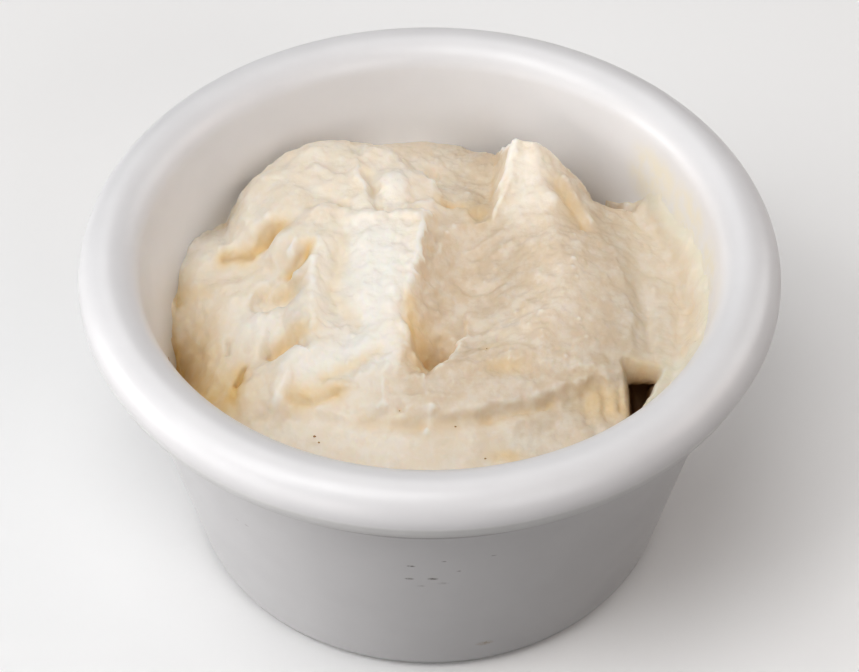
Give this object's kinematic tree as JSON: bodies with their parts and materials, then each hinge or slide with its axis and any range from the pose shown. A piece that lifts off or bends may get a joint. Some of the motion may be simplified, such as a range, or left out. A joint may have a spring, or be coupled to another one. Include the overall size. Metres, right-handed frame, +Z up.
{
  "type": "ramekin of hummus",
  "caption": "Small round white ramekin with a thick rolled rim, filled with spooned hummus that is wiped up one side of the wall.",
  "frame": {"origin": "middle of the base, on the plane that the foot rests on", "axes": "+Z up through the mouth, +Y to the back, where the heap has its pointed peak, +X to the right, where hummus is wiped up the wall"},
  "size_m": [0.086, 0.086, 0.0455],
  "materials": {
    "ramekin": "worn semi-gloss white melamine, scuffed on the outside",
    "hummus": "moist, finely grainy pale beige paste"
  },
  "bodies": {
    "root": {"ramekin": "ramekin", "hummus": "hummus"}
  },
  "joints": []
}
